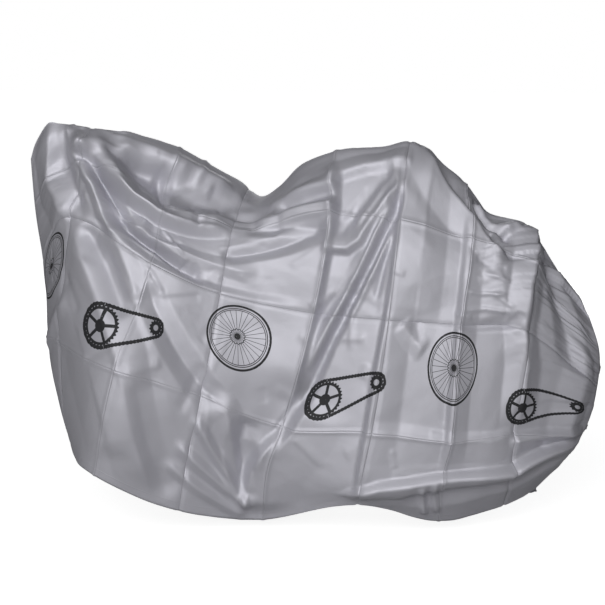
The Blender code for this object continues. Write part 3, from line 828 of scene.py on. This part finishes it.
wheel_ink = tyre.more(tread).more(rim).more(spoke).more(hub).more(sprocket)
print("wheel motif: %.0f mm across, %d spokes" % (2000 * WHEEL, SPOKES))

# %% The two toothed rings
RING, RING_TEETH, RING_BAND = 0.046, 30, 0.0085
ARMS, ARM_WIDTH, ARM_END = 5, 0.0080, 0.005
DISC, DISC_HOLE = 0.0150, 0.0060
SMALL_RING, SMALL_TEETH, SMALL_HOLE = 0.020, 13, 0.0080
TOOTH = 0.004
RING_GAP = 0.150
TILT = 0.33
chain_x, chain_y = turned(motif_x, motif_y, -TILT)
ring_x = chain_x + RING_GAP / 2
small_x = chain_x - RING_GAP / 2
from_ring = longest(ring_x, chain_y)
ring_edge = teeth(ring_x, chain_y, RING_TEETH, RING, TOOTH)
ring_hole = (from_ring - (RING - RING_BAND)).below(0.0, EDGE)
ring_body = ring_edge.below(0.0, EDGE) * ring_hole.rest()
arms = line_at(ray_fan(ring_x, chain_y, ARMS), ARM_WIDTH) * from_ring.below(RING - ARM_END, EDGE)
middle_disc = from_ring.below(DISC, EDGE) - from_ring.below(DISC_HOLE, EDGE)
small_edge = teeth(small_x, chain_y, SMALL_TEETH, SMALL_RING, TOOTH)
from_small = longest(small_x, chain_y)
small_body = small_edge.below(0.0, EDGE) - from_small.below(SMALL_HOLE, EDGE)
print("ring motifs: %d and %d teeth, %.0f mm apart" % (RING_TEETH, SMALL_TEETH, 1000 * RING_GAP))

# %% The chain
CHAIN_OUT = 0.004
LINK = 0.0090
LINK_WIDE, LINK_TAPER = 0.0052, 0.0030
# The chain runs round both rings: its sides are straight lines that touch both circles.
LEAN = math.asin((RING - SMALL_RING) / RING_GAP)
side_y = chain_y.size()
run_x, run_y = turned(ring_x, side_y, -LEAN)
straight = run_y - (RING + CHAIN_OUT)
on_straight = run_x.below(0.0, EDGE).rest() * run_x.below(RING_GAP * math.cos(LEAN), EDGE)
on_ring = run_x.below(0.0, EDGE)
on_small = on_straight.more(on_ring).rest()
round_ring = (from_ring - RING - CHAIN_OUT) * on_ring
round_small = (from_small - SMALL_RING - CHAIN_OUT) * on_small
chain_off = straight * on_straight + round_ring + round_small
links = (run_x / LINK - (run_x / LINK).math("ROUND")).size()
chain_width = links * -LINK_TAPER + LINK_WIDE
chain = (chain_off.size() - chain_width).below(0.0, EDGE)
drive_ink = ring_body.more(arms).more(middle_disc).more(small_body).more(chain)
print("chain motif: links %.0f mm long" % (1000 * LINK))

# %% Ink over the film
ink = (drive_ink * odd + wheel_ink * odd.rest()).math("MINIMUM", 1.0).more(0.0)
WORN_AWAY = 0.5
worn = noise(160.0, 4.0, 0.6).below(0.30, 0.10) * WORN_AWAY
ink = ink * worn.rest()
facing = tree.nodes.new("ShaderNodeNewGeometry")
back = Value(facing.outputs["Backfacing"])
front_ink = ink * back.rest()
print("printed row: motifs %.0f mm apart, %.0f mm down" % (PRINT_PITCH * 1000, PRINT_DOWN * 1000))

# %% Colour of the film
SILVER_DARK = (0.445, 0.441, 0.482, 1.0)
SILVER_PALE = (0.535, 0.531, 0.578, 1.0)
INSIDE = (0.34, 0.34, 0.37, 1.0)
INK = (0.012, 0.012, 0.014, 1.0)
FLAKE_SHARE = 0.3


def mix_colour(share, first, second):
    """A colour between first and second, each a fixed colour or the output of a node."""
    node = tree.nodes.new("ShaderNodeMix")
    node.data_type = "RGBA"
    tree.links.new(share.socket, node.inputs[0])
    for value, socket in ((first, node.inputs[6]), (second, node.inputs[7])):
        if isinstance(value, tuple):
            socket.default_value = value
        else:
            tree.links.new(value, socket)
    return node.outputs[2]


cloud = noise(5.0, 4.0, 0.55)
flake = noise(900.0, 2.0, 0.6)
tone = cloud * (1 - FLAKE_SHARE) + flake * FLAKE_SHARE
bare = mix_colour(tone, SILVER_DARK, SILVER_PALE)
lined = mix_colour(back, bare, INSIDE)
printed = mix_colour(front_ink, lined, INK)
tree.links.new(printed, shader.inputs["Base Color"])
print("film colour: from", SILVER_DARK[:3], "to", SILVER_PALE[:3])

# %% Gloss of the film
ROUGH = 0.56
ROUGH_CLOUD = 0.12
ROUGHER_INSIDE = 0.10
ROUGHER_INK = 0.12
METAL = 0.50
DULLER_INSIDE = 0.25
gloss = noise(14.0, 5.0, 0.6)
roughness = (gloss * ROUGH_CLOUD + ROUGH + back * ROUGHER_INSIDE) + front_ink * ROUGHER_INK
tree.links.new(roughness.socket, shader.inputs["Roughness"])
metal = front_ink.rest() * METAL - back * DULLER_INSIDE
tree.links.new(metal.more(0.0).socket, shader.inputs["Metallic"])
print("film gloss: roughness from %.2f to %.2f, metal %.2f" % (ROUGH, ROUGH + ROUGH_CLOUD, METAL))

# %% Fine relief of the film
GRAIN_HEIGHT = 0.00005
WRINKLE_HEIGHT = 0.0006
CELLS = 9.0
CELL_EDGE, CELL_HEIGHT = 0.10, 0.0010
GROOVE_HALF, GROOVE_SLOPE = 0.003, 0.36
WELD_HALF, WELD_SLOPE = 0.0015, -0.24


def from_line(position, spacing):
    """Distance to the nearest of many lines, one every spacing."""
    steps = position / spacing
    return (steps - steps.math("ROUND")).size() * spacing


grain = noise(1300.0, 2.0, 0.7) * GRAIN_HEIGHT
wrinkle = noise(22.0, 4.0, 0.5, 0.4) * WRINKLE_HEIGHT
creasing = crackle(CELLS).less(CELL_EDGE) * CELL_HEIGHT
packing = from_line(film_along, PACKING_PITCH)
for row in CREASE_ROWS:
    packing = packing.less((film_down.size() - row).size())
packing_line = packing.less(GROOVE_HALF) * GROOVE_SLOPE
weld = (film_down.size() - (FLAT_DROP - HEM_TURNED)).size().less(WELD_HALF) * WELD_SLOPE
relief = grain + wrinkle + creasing + packing_line + weld
bump = tree.nodes.new("ShaderNodeBump")
bump.inputs["Strength"].default_value = 1.0
bump.inputs["Distance"].default_value = 1.0
tree.links.new(relief.socket, bump.inputs["Height"])
tree.links.new(bump.outputs[0], shader.inputs["Normal"])
mesh.materials.append(silver)
print("film material: %d nodes" % len(tree.nodes))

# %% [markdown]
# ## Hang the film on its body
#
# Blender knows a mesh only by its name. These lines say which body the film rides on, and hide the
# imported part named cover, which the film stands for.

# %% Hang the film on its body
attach(cover, "root")
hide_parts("cover")
print("piece:", cover.name)

# %% [markdown]
# ## Floor, light and camera
#
# The cover stands on a plain white sweep. The film shows whatever it faces, so what matters is where
# the studio is bright: a wide soft box in front and a little to the left, a weak one above, which
# leaves the faces that look up grey, and one behind for the far side.

# %% Floor
FLOOR = -REST_POINT[2]
FLOOR_SIDE, FLOOR_FRONT, FLOOR_BACK = 30, -8, 40
FLOOR_GREY = 0.45
UNDER_COVER = (-0.27, 0.0, FLOOR)
# Within FADE_START of the cover the floor looks GLOW_NEAR bright, and past FADE_END it looks white.
FADE_START, FADE_END = 0.9, 2.6
GLOW_NEAR, GLOW_FAR = 0.86, 1.0

floor_corners = [(-FLOOR_SIDE, FLOOR_FRONT, FLOOR), (FLOOR_SIDE, FLOOR_FRONT, FLOOR),
                 (FLOOR_SIDE, FLOOR_BACK, FLOOR), (-FLOOR_SIDE, FLOOR_BACK, FLOOR)]
floor_mesh = bpy.data.meshes.new("floor")
floor_mesh.from_pydata(floor_corners, [], [(0, 1, 2, 3)])
floor = bpy.data.objects.new("floor", floor_mesh)
bpy.context.scene.collection.objects.link(floor)
pale = bpy.data.materials.new("white sweep")
pale.use_nodes = True
pale_tree = pale.node_tree
sweep = pale_tree.nodes["Principled BSDF"]
sweep.inputs["Base Color"].default_value = (FLOOR_GREY, FLOOR_GREY, FLOOR_GREY, 1.0)
sweep.inputs["Roughness"].default_value = 1.0
sweep.inputs["Specular IOR Level"].default_value = 0.0
sweep.inputs["Emission Color"].default_value = (1.0, 1.0, 1.0, 1.0)
floor_place = pale_tree.nodes.new("ShaderNodeNewGeometry")
distance = pale_tree.nodes.new("ShaderNodeVectorMath")
distance.operation = "DISTANCE"
distance.inputs[1].default_value = UNDER_COVER
pale_tree.links.new(floor_place.outputs["Position"], distance.inputs[0])
glow = pale_tree.nodes.new("ShaderNodeMapRange")
glow.interpolation_type = "SMOOTHSTEP"
for slot, value in enumerate((FADE_START, FADE_END, GLOW_NEAR, GLOW_FAR), 1):
    glow.inputs[slot].default_value = value
pale_tree.links.new(distance.outputs["Value"], glow.inputs[0])
# Only the camera sees this glow, so it casts no light on the film.
seen_by = pale_tree.nodes.new("ShaderNodeLightPath")
seen_glow = pale_tree.nodes.new("ShaderNodeMath")
seen_glow.operation = "MULTIPLY"
pale_tree.links.new(seen_by.outputs["Is Camera Ray"], seen_glow.inputs[0])
pale_tree.links.new(glow.outputs[0], seen_glow.inputs[1])
pale_tree.links.new(seen_glow.outputs[0], sweep.inputs["Emission Strength"])
floor_mesh.materials.append(pale)
print("floor: %.3f metres below the point of rest" % -FLOOR)


# %% Lights
def aim(thing, place, target):
    """Put a lamp or a camera at place, facing target."""
    thing.location = place
    thing.rotation_mode = "QUATERNION"
    thing.rotation_quaternion = (Vector(target) - Vector(place)).to_track_quat("-Z", "Y")


MIDDLE = (-0.27, 0.0, -0.45)
LAMPS = (
    # name, place, size, watts
    ("key", (-0.5, -4.4, 1.2), 3.0, 190.0),
    ("top", (-0.3, -0.6, 3.2), 2.5, 9.0),
    ("back", (-0.6, 4.4, 0.6), 2.6, 62.0),
)
for name, spot, size, watts in LAMPS:
    light = bpy.data.lights.new(name, "AREA")
    light.size = size
    light.energy = watts
    lamp = bpy.data.objects.new(name, light)
    bpy.context.scene.collection.objects.link(lamp)
    aim(lamp, spot, MIDDLE)
    print("lamp %s: %.0f watts" % (name, watts))

# %% World
SEEN_LIGHT = 1.0
FELT_LIGHT = 0.025
world = bpy.data.worlds.new("studio")
bpy.context.scene.world = world
world.use_nodes = True
room = world.node_tree
for node in list(room.nodes):
    room.nodes.remove(node)
seen = room.nodes.new("ShaderNodeBackground")
seen.inputs["Color"].default_value = (1.0, 1.0, 1.0, 1.0)
seen.inputs["Strength"].default_value = SEEN_LIGHT
felt = room.nodes.new("ShaderNodeBackground")
felt.inputs["Color"].default_value = (0.80, 0.82, 0.88, 1.0)
felt.inputs["Strength"].default_value = FELT_LIGHT
ray = room.nodes.new("ShaderNodeLightPath")
choose = room.nodes.new("ShaderNodeMixShader")
out = room.nodes.new("ShaderNodeOutputWorld")
room.links.new(ray.outputs["Is Camera Ray"], choose.inputs[0])
room.links.new(felt.outputs[0], choose.inputs[1])
room.links.new(seen.outputs[0], choose.inputs[2])
room.links.new(choose.outputs[0], out.inputs["Surface"])
bpy.context.scene.view_settings.view_transform = "Standard"
print("world: white to the camera, %.3f bright to the film" % FELT_LIGHT)

# %% Camera
CAMERA_ANGLE = 23.34
CAMERA_PLACE = (0.224, -3.867, 0.242)
CAMERA_TARGET = (-0.285, 0.0, -0.434)
camera_data = bpy.data.cameras.new("camera")
camera_data.angle = math.radians(CAMERA_ANGLE)
camera = bpy.data.objects.new("camera", camera_data)
bpy.context.scene.collection.objects.link(camera)
aim(camera, CAMERA_PLACE, CAMERA_TARGET)
bpy.context.scene.camera = camera
print("camera: %.2f metres from its target" % math.dist(CAMERA_PLACE, CAMERA_TARGET))
